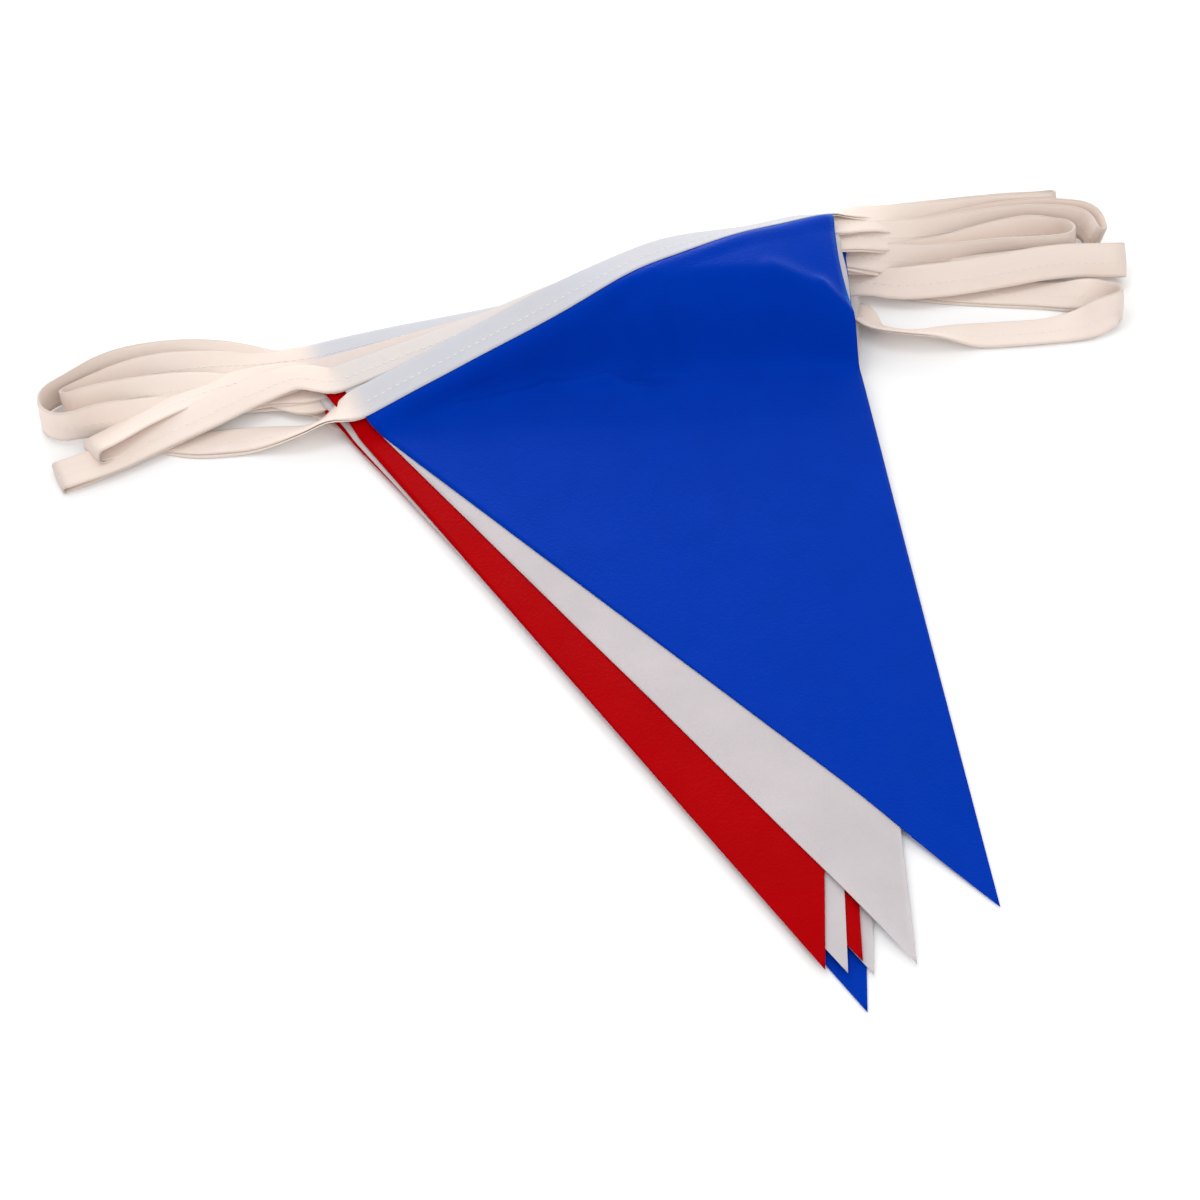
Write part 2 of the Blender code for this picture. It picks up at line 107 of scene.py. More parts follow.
# a turn of tape from pennant n to n + 1, odd ones on the right. Its bend: where its middle lies, its
# heading, how wide it is, negative where the upper pennant's leg lies behind, and how far it stands up
# on edge, the fold's side first. The legs of its upper and lower pennant pass points in plan, with the
# stand on edge and the height of the middle there
TURNS = (
    dict(after=1, x=178.0, y=198.0, z=8.4, heading=12.0, spread=-4.0, tilt=60.0,
         upper=((101, 183, -22, 20.0), (114, 187, 0, 14.0), (131, 191.5, 38, 9.5), (157, 197.5, 58, 7.6)),
         lower=((104, 178, 2, 20.6), (117, 183.5, 28, 15.5), (133, 189, 46, 11.0), (158, 195, 58, 9.6))),
    dict(after=2, x=-201.0, y=58.5, z=2.3, heading=203.0, spread=2.8, tilt=6.0,
         upper=((-114, 104, 0, 9.4), (-128, 98.5, 6, 8.6), (-147, 88, 10, 6.6), (-167, 76.5, 8, 5.0),
                (-183, 66.5, 6, 4.3)),
         lower=((-128, 99.5, 0, 6.9), (-147, 89, 6, 5.0), (-167, 77.5, 6, 3.3), (-183, 68, 4, 2.2))),
    dict(after=3, x=194.5, y=181.0, z=8.4, heading=-78.0, spread=3.6, tilt=74.0,
         upper=((100, 169.5, 14, 19.6), (113, 174, 34, 15.3), (130, 180, 50, 11.0), (157, 188.5, 62, 9.2),
                (178, 191, 72, 8.6), (190.5, 188, 74, 8.4)),
         lower=((108, 178, 18, 13.0), (130, 183.5, 45, 8.8), (157, 192, 62, 8.4), (180, 194.5, 72, 8.4),
                (194, 190.5, 74, 8.4))),
    dict(after=4, x=-188.0, y=69.5, z=5.6, heading=214.0, spread=5.0, tilt=-20.0,
         upper=((-118, 107.5, 0, 6.6), (-135, 105.5, -6, 5.6), (-152, 99, -12, 5.2), (-172, 84.5, -20, 6.4)),
         lower=((-130, 99, 0, 4.4), (-150, 92, 0, 2.9), (-171, 78, -12, 2.4))),
    dict(after=5, x=180.0, y=179.5, z=8.0, heading=8.0, spread=12.0, tilt=76.0,
         upper=((99, 164.5, 16, 13.8), (113, 166, 42, 10.5), (131, 168, 60, 8.5), (156, 172.5, 72, 8.0)),
         lower=((99, 165.5, 16, 11.0), (114, 169, 40, 8.6), (132, 172.5, 52, 8.0), (157, 182, 58, 8.0),
                (170, 185.5, 68, 8.0))),
    dict(after=6, x=-198.0, y=92.0, z=7.0, heading=210.0, spread=9.0, tilt=60.0,
         upper=((-128, 102, 0, 3.4), (-150, 103.5, 14, 4.4), (-174, 98, 40, 6.2)),
         lower=((-130, 116.5, 0, 3.6), (-150, 114.5, 18, 4.6), (-174, 108.5, 44, 6.2))),
    dict(after=7, x=201.0, y=169.0, z=7.6, heading=4.0, spread=-8.0, tilt=43.0,
         upper=((103, 178, 0, 3.0), (120, 168, 10, 2.8), (134, 164, 30, 4.7), (156, 165.5, 44, 6.2),
                (180, 169.5, 45, 6.0)),
         lower=((116, 156, 26, 7.6), (130, 156.5, 40, 8.8), (156, 161.5, 47, 9.2), (180, 166.5, 45, 9.6))),
    dict(after=8, x=-201.0, y=88.5, z=7.9, heading=212.0, spread=21.0, tilt=84.0,
         upper=((-125, 99, 0, 2.2), (-150, 97, 0, 1.4), (-176, 87.5, 35, 4.8)),
         lower=((-125, 117, 8, 2.0), (-146, 119.5, 28, 4.2), (-168, 117.5, 45, 5.5), (-187, 111, 62, 6.6))),
    dict(after=9, x=197.5, y=145.5, z=7.6, heading=6.0, spread=-9.0, tilt=74.0,
         upper=((104, 168, 0, 1.6), (122, 161, 0, 1.0), (155, 157, 0, 1.0), (178, 155, 8, 1.8),
                (189, 152.5, 36, 5.0)),
         lower=((105, 136, -34, 4.4), (113, 133.2, -40, 5.2), (123, 132.4, -38, 5.0), (134, 133.5, -22, 3.4),
                (148, 134.3, 0, 0.9), (172, 136.5, 0, 0.9), (183, 138, 12, 2.2), (192, 139.4, 38, 5.0))),
)

# the tape's two free ends, both on the left: the points they pass, as above
TAILS = (
    dict(pennant=1, heading=170.0,
         points=((-98.5, 86, -22, 7.9), (-104, 83.4, -47, 6.7), (-111, 80.6, -38, 5.0), (-121, 79.4, -18, 2.9),
                 (-136, 77.8, 0, 1.0), (-151, 76.5, 0, 0.9), (-172, 81, 0, 0.9))),
    dict(pennant=10, heading=170.0,
         points=((-101, 93.5, 0, 0.9), (-108, 98, 0, 0.9), (-120, 101, 0, 0.9), (-134, 102, 0, 0.9))),
)

# the pile
PITCH = 0.46                  # between two films that lie flat on each other
BASE = 0.62                   # height of the lowest film, with its tape under it
DROOP = 36.0                  # over this a film sinks past the ones under it
FOOT_REACH = 22.0             # how far before its foot the ridge starts to rise
FOOT_RISE = 0.05              # share of the front edge's height at the foot
SHOULDER = (0.7, 0.8)         # share of the way from foot to front edge, and of its height there
HEEL_REACH = 30.0             # how far behind its heel the ridge's table ends
CREASE_EDGE = 1.6             # how sharply a crease ends at its width

# a film
FILM_ACROSS, FILM_DOWN = 72, 104    # points of its grid outside the tape
MOUTH_ROW = 2                 # the row of its grid at the tape's open edge
TOWARDS_TAPE = 1.25           # above 1, its rows stand closer near the tape
SEWN_IN = 11.0                # how far a pennant reaches into the tape
FLAT_LIP = 0.5                # how far past the tape's open edge it still lies in the tape's plane
COMING_DOWN = 7.0             # over this it comes to its place in the pile
LOOSENING = 14.0              # over this film and tape come free of the seam
WAVE, WAVE_HEIGHT = 34.0, 0.22      # its slight unevenness on the pile
EDGE_BOW = (26.0, 22.0)       # where its right edge bows most, and over what length
BOW_POWER = 6                 # how close to the edge that stays

# the tape
STRIP_END = 102.0             # half length of its straight run over a pennant
EXIT_RUN = 2.0                # last part of that run, whose direction it leaves with
STEP = 2.5                    # between two of its sections
BEND_POINTS = 13              # sections round a bend
FOLD_POINTS = 5               # points round its fold
ACROSS = (-1.0, -0.76, -0.52, -0.3, -0.12, 0.1, 0.32, 0.54, 0.78, 1.0)     # of a layer, open edge to fold
SEAM = 4                      # the one of these that the stitches run along
LAYER_GAP = 0.05              # between a layer and the film in it
FLOOR_GAP = 0.02
PUFF = (0.14, 0.16, 23.0)     # how far loose layers part: mean, swing and the swing's length
CUP = (0.35, 41.0)            # how far the loose tape curls across: swing and its length
SLIP = (1.0, 1.1, 37.0)       # how far the upper layer's open edge stays back: mean, swing, length
STITCH_LEAD = 0.6             # ahead of a stitch, to read its direction
STITCH_LENGTH = 0.36          # half a stitch's thread, as a share of the stitch
THREAD = (0.00022, 0.00018)   # half its width and height, in metres


# ---- curves

def ease(u):
    u = np.clip(u, 0.0, 1.0)
    return u * u * (3.0 - 2.0 * u)


def slopes(xs, ys):
    """Slopes at the knots that keep a curve from overshooting."""
    gap = np.diff(xs, axis=0)
    rise = np.diff(ys, axis=0) / gap
    both = rise[:-1] * rise[1:]
    inner = np.where(both > 0, 2 * both / (rise[:-1] + rise[1:] + 1e-12), 0.0)
    return np.concatenate([rise[:1], inner, rise[-1:]])


def curve_at(x, xs, ys):
    """Smooth curve through knots; knots may differ from point to point along a second axis."""
    x = np.asarray(x, float)
    xs = np.asarray(xs, float)
    ys = np.asarray(ys, float)
    if xs.ndim == 1:
        xs = np.repeat(xs[:, None], x.size, axis=1)
    if ys.ndim == 1:
        ys = np.repeat(ys[:, None], x.size, axis=1)
    flat = np.clip(x.ravel(), xs[0], xs[-1])
    m = slopes(xs, ys)
    at = np.clip((flat[None, :] >= xs).sum(axis=0) - 1, 0, len(xs) - 2)
    col = np.arange(flat.size)
    x0, x1 = xs[at, col], xs[at + 1, col]
    y0, y1 = ys[at, col], ys[at + 1, col]
    h = x1 - x0
    u = (flat - x0) / h
    out = (y0 * (1 + 2 * u) * (1 - u) ** 2 + m[at, col] * h * u * (1 - u) ** 2
           + y1 * u * u * (3 - 2 * u) + m[at + 1, col] * h * u * u * (u - 1))
    return out.reshape(x.shape)


def ridge(xy):
    """Height of the ridge under the top film at points in plan."""
    shape = xy.shape[:-1]
    x, y = xy[..., 0].ravel(), xy[..., 1].ravel()
    at = {key: curve_at(x, [r["x"] for r in RIDGE], [r[key] for r in RIDGE]) for key in RIDGE[0] if key != "x"}
    nothing = np.zeros_like(x)
    along, up = SHOULDER
    knots = [(at["foot"] - FOOT_REACH, nothing), (at["foot"], FOOT_RISE * at["edge_z"]),
             (at["foot"] + along * (at["edge"] - at["foot"]), up * at["edge_z"]),
             (at["edge"], at["edge_z"]), (at["top"], at["top_z"]), (at["back"], at["back_z"]),
             (at["heel"], nothing), (at["heel"] + HEEL_REACH, nothing)]
    ys = np.array([k[0] for k in knots])
    zs = np.array([k[1] for k in knots])
    return curve_at(y, ys, zs).reshape(shape)


def wander(xy, size, seed):
    """Smooth noise from -1 to 1 at points in plan."""
    flat = xy.reshape(-1, 2)
    out = [noise.noise((p[0] / size, p[1] / size, seed)) for p in flat]
    return np.array(out).reshape(xy.shape[:-1])


# ---- pennants in the pile

class Sheet:
    """Plan of one pennant: s runs along its top edge, t from the tape's open edge to the tip."""

    def __init__(self, row):
        lean = math.radians(row["lean"])
        self.length = row["length"]
        self.up = np.array([-math.sin(lean), math.cos(lean)])
        self.side = np.array([math.cos(lean), math.sin(lean)])
        self.top = np.array([row["tip_x"], row["tip_y"]]) + self.length * self.up

    def plan(self, s, t):
        return self.top + np.multiply.outer(s, self.side) - np.multiply.outer(t, self.up)

    def outside(self, xy, width, band):
        """Distance past the outline of the film and its tape, negative inside."""
        d = np.asarray(xy) - self.top
        s, t = d @ self.side, -(d @ self.up)
        half_tip = math.atan2(width / 2, self.length)
        edge = np.abs(s) * math.cos(half_tip) - (self.length - t) * math.sin(half_tip)
        return np.maximum(edge, -t - band)


SHEETS = [Sheet(row) for row in PENNANTS]


def height(k, xy, sizes):
    """Height of the middle of film k, lying on all the films and tapes under it. The lower a film
    lies, the less of the ridge is under it."""
    xy = np.asarray(xy, float)
    z = BASE + np.zeros(xy.shape[:-1])
    for under in SHEETS[k + 1:]:
        z = z + PITCH * (1.0 - ease(under.outside(xy, sizes.width * IN_MM, sizes.band * IN_MM) / DROOP))
    share = (len(SHEETS) - 1 - k) / (len(SHEETS) - 1)
    return z + share * (ridge(xy) + crease_lift(xy))


def crease_lift(xy):
    """What the creases add to the top film."""
    lift = np.zeros(xy.shape[:-1])
    for row in CREASES:
        a = np.array([row["x0"], row["y0"]], float)
        b = np.array([row["x1"], row["y1"]], float)
        u = ((xy - a) @ (b - a)) / ((b - a) @ (b - a))
        near = a + np.clip(u, 0, 1)[..., None] * (b - a)
        off = np.linalg.norm(xy - near, axis=-1) / row["wide"]
        lift += row["high"] * np.exp(-off * off * CREASE_EDGE)
    return lift


def strip_at(k, s, sizes):
    """Centre of the folded tape over pennant k at s, and the way across it to the fold."""
    sheet, band = SHEETS[k], sizes.band * IN_MM
    fold, mid, mouth = (float(height(k, sheet.plan(s, t), sizes)) for t in (-band, -band / 2, 0.0))
    centre = np.append(sheet.plan(s, -band / 2), (mid + (fold + mouth) / 2) / 2)
    across = np.append(sheet.up * band, fold - mouth)
    return centre, across / np.linalg.norm(across)


# ---- the tape's turns

def through(points, first, last):
    """Smooth curve through points in plan from one direction to another: points STEP apart, and
    the place of each among the given ones."""
    points = np.array(points, float)
    gap = np.linalg.norm(np.diff(points, axis=0), axis=1)
    way = np.zeros_like(points)
    way[0], way[-1] = first, last
    for i in range(1, len(points) - 1):
        before, after = (points[i] - points[i - 1]) / gap[i - 1], (points[i + 1] - points[i]) / gap[i]
        way[i] = before * gap[i] + after * gap[i - 1]
        way[i] /= np.linalg.norm(way[i])
    plan, place = [], []
    for i, g in enumerate(gap):
        count = max(2, int(round(g / STEP)))
        u = np.linspace(0.0, 1.0, count, endpoint=False)[:, None]
        plan.append(points[i] * (1 + 2 * u) * (1 - u) ** 2 + way[i] * g * u * (1 - u) ** 2
                    + points[i + 1] * u * u * (3 - 2 * u) + way[i + 1] * g * u * u * (u - 1))
        place.append(i + u[:, 0])
    plan.append(points[-1:])
    place.append([len(gap)])
    return np.concatenate(plan), np.concatenate(place)


def leg_of(start, out, roll, knots, meet, ahead, last_tilt):
    """One leg from a pennant past its knots to its bend: centres, and the ways to the fold."""
    plan, place = through([start[:2]] + [k[:2] for k in knots] + [meet[:2]], out, ahead)
    at = np.arange(len(knots) + 2)
    tilt = np.radians(curve_at(place, at, [math.degrees(roll)] + [k[2] for k in knots] + [last_tilt]))
    z = curve_at(place, at, [start[2]] + [k[3] for k in knots] + [meet[2]])
    return np.column_stack([plan, z]), stood(backward(plan), tilt)


def stood(back, tilt):
    """Ways across the tape to the fold: level ones, stood up on edge."""
    return np.column_stack([back * np.cos(tilt)[:, None], np.sin(tilt)])


def backward(plan):
    """Level direction across a run, on the fold's side."""
    step = np.gradient(plan, axis=0)
    step /= np.linalg.norm(step, axis=1)[:, None]
    side = np.stack([-step[:, 1], step[:, 0]], axis=1)
    side[side[:, 1] < 0] *= -1
    return side


def exit_of(k, side, sizes):
    """Where the tape leaves pennant k on one side (+1 right), with its outward direction and roll."""
    centre, across = strip_at(k, side * STRIP_END, sizes)
    inner, _ = strip_at(k, side * (STRIP_END - EXIT_RUN), sizes)
    out = (centre - inner)[:2]
    return centre, out / np.linalg.norm(out), math.asin(across[2])


def turn_of(row, sizes):
    """Upper leg, bend and lower leg of one turn, each as centres and ways to the fold."""
    k = row["after"] - 1
    side = 1 if row["after"] % 2 else -1
    head, tilt = math.radians(row["heading"]), math.radians(row["tilt"])
    ahead = np.array([math.cos(head), math.sin(head)])
    back = np.array([-ahead[1], ahead[0]]) * side
    radius = row["spread"] / 2
    angles = np.linspace(0.0, math.pi, BEND_POINTS)
    plan = (np.array([row["x"], row["y"]]) + np.outer(np.sin(angles), ahead) * abs(radius)
            - np.outer(np.cos(angles), back) * radius * math.sin(tilt))
    bend = np.column_stack([plan, row["z"] + radius * math.cos(tilt) * np.cos(angles)])
    legs = [leg_of(*exit_of(k + i, side, sizes), knots, bend[-i], ahead, row["tilt"])
            for i, knots in enumerate((row["upper"], row["lower"]))]
    return legs[0], (bend, stood(np.tile(back, (len(angles), 1)), np.full(len(angles), tilt))), legs[1]


def tail_of(row, sizes):
    """One free end of the tape."""
    head = math.radians(row["heading"])
    *knots, (x, y, tilt, z) = row["points"]
    return leg_of(*exit_of(row["pennant"] - 1, -1, sizes), knots, (x, y, z),
                  np.array([math.cos(head), math.sin(head)]), tilt)


def tape_stations(sizes):
    """Every section of the tape: its centre, its way to the fold, its sewn share (1 over a
    pennant), and the pennant that lies in it, or -1."""
    def loose(run, flip=False):
        centres, across = run
        arc = np.concatenate([[0.0], np.cumsum(np.linalg.norm(np.diff(centres, axis=0), axis=1))])
        rows = [(c, a, 1.0 - float(ease(s / LOOSENING)), -1) for c, a, s in zip(centres, across, arc)]
        return rows[::-1] if flip else rows

    path = loose(tail_of(TAILS[0], sizes), True)
    for k in range(len(PENNANTS)):
        side = 1 if k % 2 == 0 else -1
        for s in np.arange(-STRIP_END + STEP, STRIP_END - STEP / 2, STEP) * side:
            path.append((*strip_at(k, s, sizes), 1.0, k))
        if k < len(TURNS):
            upper, bend, lower = turn_of(TURNS[k], sizes)
            path += loose(upper)[:-1] + [(c, a, 0.0, -1) for c, a in zip(*bend)] + loose(lower, True)[1:]
    return path + loose(tail_of(TAILS[1], sizes))


# ---- meshes

def put(points):
    """Points in mm of the tables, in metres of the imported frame."""
    out = np.array(points, float)
    out[..., 0] -= CENTRE[0]
    out[..., 1] -= CENTRE[1]
    return out * MM


def grid_piece(name, points, uv_size, wall, material, tints=None):
    """A piece from a grid whose points are laid where they belong, with a wall of its thickness."""
    rows, cols = points.shape[:2]
    bm = bmesh.new()
    uv = bm.loops.layers.uv.new("flat")
    bmesh.ops.create_grid(bm, x_segments=cols - 1, y_segments=rows - 1, size=1.0, calc_uvs=True)
    tint = bm.verts.layers.float_color.new("tint") if tints is not None else None
    placed = put(points)
    for v in bm.verts:
        i = int(round((v.co.x + 1) / 2 * (cols - 1)))
        j = int(round((v.co.y + 1) / 2 * (rows - 1)))
        v.co = placed[j, i]
        if tint:
            v[tint] = (*tints[j, i], 1.0)
    for face in bm.faces:
        face.smooth = True
        for loop in face.loops:
            loop[uv].uv = (loop[uv].uv[0] * uv_size[0], loop[uv].uv[1] * uv_size[1])
    bmesh.ops.remove_doubles(bm, verts=bm.verts[:], dist=1e-6)
    mesh = bpy.data.meshes.new(name)
    bm.to_mesh(mesh)
    bm.free()
    mesh.materials.append(material)
    obj = bpy.data.objects.new(name, mesh)
    bpy.context.scene.collection.objects.link(obj)
    solid = obj.modifiers.new("wall", "SOLIDIFY")
    solid.thickness, solid.offset, solid.use_even_offset = wall, 0.0, False
    return obj


def film_points(k, sizes):
    """The pennant's film: flat in the tape, then over the ridge and down on the pile."""
    sheet, width = SHEETS[k], sizes.width * IN_MM
    t = sheet.length * np.linspace(0.0, 1.0, FILM_DOWN) ** TOWARDS_TAPE
    t = np.concatenate([[-SEWN_IN, -SEWN_IN / 2], t])
    half = np.clip((sheet.length - t) / sheet.length, 0.0, None) * width / 2
    share = np.linspace(-1.0, 1.0, FILM_ACROSS)[None, :]
    most, reach = EDGE_BOW
    edge = PENNANTS[k].get("edge", 0.0) * np.exp(-((t - most) / reach) ** 2)
    s = share * half[:, None] + edge[:, None] * ((share + 1) / 2) ** BOW_POWER
    xy = sheet.top + s[..., None] * sheet.side - t[:, None, None] * sheet.up
    loose = ease(t / LOOSENING)[:, None] * (len(SHEETS) - k) / len(SHEETS)
    z = height(k, xy, sizes) + loose * WAVE_HEIGHT * wander(xy, WAVE, 3.0)
    sewn = np.array([[*strip_at(k, float(a), sizes)] for a in s[MOUTH_ROW]])
    flat = sewn[:, 0][None, :, :] - sewn[:, 1][None, :, :] * (t[:, None, None] + sizes.band * HALF_IN_MM)
    w = ease((t - FLAT_LIP) / COMING_DOWN)[:, None, None]
    return flat * (1 - w) + np.concatenate([xy, z[..., None]], axis=-1) * w


def run_length(points):
    """Length along a row of points in mm, in metres."""
    return float(np.linalg.norm(np.diff(points, axis=0), axis=1).sum()) * MM


def tape_grid(sizes, colours):
    """Points of the folded tape, section by section, with their tints, and each section's place
    along the tape and its normal."""
    path = tape_stations(sizes)
    centres = np.array([p[0] for p in path])
    across = np.array([p[1] for p in path])
    sewn = np.array([p[2] for p in path])
    inside = np.array([p[3] for p in path])
    for _ in range(2):
        centres[1:-1] = (centres[:-2] + 2 * centres[1:-1] + centres[2:]) / 4
        across[1:-1] = (across[:-2] + 2 * across[1:-1] + across[2:]) / 4
    arc = np.concatenate([[0.0], np.cumsum(np.linalg.norm(np.diff(centres, axis=0), axis=1))])
    along = np.gradient(centres, axis=0)
    along /= np.linalg.norm(along, axis=1)[:, None]
    across -= along * (across * along).sum(axis=1)[:, None]
    across /= np.linalg.norm(across, axis=1)[:, None]
    normal = np.cross(along, across)
    room = sizes.film * HALF_IN_MM + sizes.wall * HALF_IN_MM + LAYER_GAP
    inner = sizes.band * HALF_IN_MM - room
    turn = np.linspace(0.0, math.pi, FOLD_POINTS)[1:-1]
    grid = []
    for c, w, n, joined, s in zip(centres, across, normal, sewn, arc):
        loose = 1.0 - joined
        puff = loose * (PUFF[0] + PUFF[1] * noise.noise((s / PUFF[2], 1.5, 0.0)))
        cup = loose * CUP[0] * noise.noise((s / CUP[1], 7.5, 0.0))
        slip = loose * (SLIP[0] + SLIP[1] * noise.noise((s / SLIP[2], 4.5, 0.0)))
        upper = [(inner - (1 - v) / 2 * (2 * inner - slip), room + puff * math.cos(v * math.pi / 2) + cup * v * v)
                 for v in ACROSS]
        bend = [(inner + room * math.sin(q), room * math.cos(q) + cup) for q in turn]
        lower = [(inner * v, -room - puff * math.cos(v * math.pi / 2) + cup * v * v) for v in reversed(ACROSS)]
        grid.append([c + w * a + n * b for a, b in upper + bend + lower])
    points = np.array(grid)
    points[..., 2] = np.maximum(points[..., 2], sizes.wall * HALF_IN_MM + FLOOR_GAP)
    shades = {"blue": colours.tape_blue, "white": colours.tape_white, "red": colours.tape_red}
    tints = np.zeros((len(path), points.shape[1], 3))
    for i, k in enumerate(inside):
        tints[i, :] = colours.tape if k < 0 else shades[PENNANTS[k]["film"]]
    for _ in range(3):
        tints[1:-1] = (tints[:-2] + 2 * tints[1:-1] + tints[2:]) / 4
    return points, tints, arc, normal


# ---- finishes: scales are per metre, heights in metres

FILM_LOOK = dict(tone_scale=55.0, tones=(0.90, 1.07), grain_scale=900.0, grain_height=0.00012,
                 patch_scale=140.0, roughness=(0.32, 0.42), specular=0.07, sheen=0.6, sheen_roughness=0.35)
TAPE_LOOK = dict(thread_scale=27.0, thread_unevenness=0.6, thread_height=0.00005, tone_scale=45.0,
                 warm_share=0.10, roughness=(0.78, 0.92), specular=0.25, sheen=0.25, sheen_roughness=0.5)
THREAD_LOOK = dict(twist_scale=1500.0, twist_height=0.00008, roughness=0.7)
FLOOR_LOOK = dict(tone_scale=6.0, dark=0.99, roughness=0.9, specular=0.1)
GLINTS = dict(blue=(0.0, 0.32, 1.0), white=(1.0, 0.95, 0.95), red=(1.0, 0.0, 0.03))     # of each film's gloss
SEE_THROUGH = dict(blue=1.0, white=0.75, red=1.0)        # each film's alpha


def shader_of(material):
    return next(n for n in material.node_tree.nodes if n.type == "BSDF_PRINCIPLED")


def noise_node(tree, vector, scale, detail=2.0):
    """Noise at a scale, as a socket."""
    node = tree.nodes.new("ShaderNodeTexNoise")
    node.inputs["Scale"].default_value = scale
    node.inputs["Detail"].default_value = detail
    tree.links.new(vector, node.inputs["Vector"])
    return node.outputs["Fac"]


def ranged(tree, value, low, high):
    """The middle of a noise's range, spread from low to high."""
    node = tree.nodes.new("ShaderNodeMapRange")
    node.inputs["From Min"].default_value = 0.3
    node.inputs["From Max"].default_value = 0.7
    node.inputs["To Min"].default_value = low
    node.inputs["To Max"].default_value = high
    tree.links.new(value, node.inputs["Value"])
    return node.outputs["Result"]


def mixed(tree, factor, one, two):
    """Two colours, each given or a socket, mixed by a factor."""
    node = tree.nodes.new("ShaderNodeMix")
    node.data_type = "RGBA"
    tree.links.new(factor, node.inputs["Factor"])
    for socket, value in (("A", one), ("B", two)):
        target = next(i for i in node.inputs if i.name == socket and i.type == "RGBA")
        if isinstance(value, bpy.types.NodeSocket):
            tree.links.new(value, target)
        else:
            target.default_value = (*value, 1.0)
    return next(o for o in node.outputs if o.type == "RGBA")


def bumped(tree, height_value, distance):
    """Normals of a relief that is so many metres high."""
    node = tree.nodes.new("ShaderNodeBump")
    node.inputs["Strength"].default_value = 1.0
    node.inputs["Distance"].default_value = distance
    tree.links.new(height_value, node.inputs["Height"])
    return node.outputs["Normal"]


def film_material(name, colour, glint, alpha):
    """Thin plastic film: satin, with a fine cloth-like grain and a slightly uneven tone."""
    look = FILM_LOOK
    material = bpy.data.materials.new(name)
    material.use_nodes = True
    tree, shader = material.node_tree, shader_of(material)
    place = tree.nodes.new("ShaderNodeTexCoord").outputs["Object"]
    tone = noise_node(tree, place, look["tone_scale"], 4.0)
    dark, light = ([min(1.0, c * part) for c in colour] for part in look["tones"])
    tree.links.new(mixed(tree, tone, dark, light), shader.inputs["Base Color"])
    grain = noise_node(tree, place, look["grain_scale"], 1.0)
    tree.links.new(bumped(tree, grain, look["grain_height"]), shader.inputs["Normal"])
    patches = noise_node(tree, place, look["patch_scale"])
    tree.links.new(ranged(tree, patches, *look["roughness"]), shader.inputs["Roughness"])
    shader.inputs["Specular IOR Level"].default_value = look["specular"]
    shader.inputs["Specular Tint"].default_value = (*glint, 1.0)
    shader.inputs["Sheen Weight"].default_value = look["sheen"]
    shader.inputs["Sheen Roughness"].default_value = look["sheen_roughness"]
    shader.inputs["Sheen Tint"].default_value = (*glint, 1.0)
    shader.inputs["Alpha"].default_value = alpha
    return material


def tape_material(colours):
    """Thin woven tape: plain weave of fine threads, soft sheen, tinted by what lies inside it."""
    look = TAPE_LOOK
    material = bpy.data.materials.new("tape_weave")
    material.use_nodes = True
    tree, shader = material.node_tree, shader_of(material)
    uv = tree.nodes.new("ShaderNodeUVMap")
    uv.uv_map = "flat"
    weave = tree.nodes.new("ShaderNodeMath")
    weave.operation = "ADD"
    for i, direction in enumerate(("X", "Y")):
        wave = tree.nodes.new("ShaderNodeTexWave")
        wave.wave_type, wave.bands_direction = "BANDS", direction
        wave.inputs["Scale"].default_value = look["thread_scale"]
        wave.inputs["Distortion"].default_value = look["thread_unevenness"]
        wave.inputs["Detail Scale"].default_value = 3.0
        tree.links.new(uv.outputs["UV"], wave.inputs["Vector"])
        tree.links.new(wave.outputs["Fac"], weave.inputs[i])
    place = tree.nodes.new("ShaderNodeTexCoord").outputs["Object"]
    cloth = tree.nodes.new("ShaderNodeAttribute")
    cloth.attribute_name = "tint"
    tone = noise_node(tree, place, look["tone_scale"], 3.0)
    warm = ranged(tree, tone, 0.0, look["warm_share"])
    tree.links.new(mixed(tree, warm, cloth.outputs["Color"], colours.tape_warm), shader.inputs["Base Color"])
    tree.links.new(bumped(tree, weave.outputs["Value"], look["thread_height"]), shader.inputs["Normal"])
    tree.links.new(ranged(tree, tone, *look["roughness"]), shader.inputs["Roughness"])
    shader.inputs["Sheen Weight"].default_value = look["sheen"]
    shader.inputs["Sheen Roughness"].default_value = look["sheen_roughness"]
    shader.inputs["Specular IOR Level"].default_value = look["specular"]
    return material


def thread_material(colours):
    """Sewing thread, with the twist of its plies, and painted shade that darkens it where the twist's relief lies
    low.
    """
    look = THREAD_LOOK
    material = bpy.data.materials.new("thread")
    material.use_nodes = True
    tree, shader = material.node_tree, shader_of(material)
    place = tree.nodes.new("ShaderNodeTexCoord").outputs["Object"]
    twist = noise_node(tree, place, look["twist_scale"])
    # painted shade: the darker thread colour falls where the twist's bump lies low, in the grooves between the
    # plies
    tree.links.new(mixed(tree, twist, colours.thread_groove_shade, colours.thread), shader.inputs["Base Color"])
    tree.links.new(bumped(tree, twist, look["twist_height"]), shader.inputs["Normal"])
    shader.inputs["Roughness"].default_value = look["roughness"]
    return material


def floor_material(colour):
    """Plain pale floor, matt and barely uneven in tone."""
    look = FLOOR_LOOK
    material = bpy.data.materials.new("pale_floor")
    material.use_nodes = True
    tree, shader = material.node_tree, shader_of(material)
    place = tree.nodes.new("ShaderNodeTexCoord").outputs["Object"]
    tone = noise_node(tree, place, look["tone_scale"])
    dark = [c * look["dark"] for c in colour]
    tree.links.new(mixed(tree, tone, dark, colour), shader.inputs["Base Color"])
    shader.inputs["Roughness"].default_value = look["roughness"]
    shader.inputs["Specular IOR Level"].default_value = look["specular"]
    return material


# ---- settings

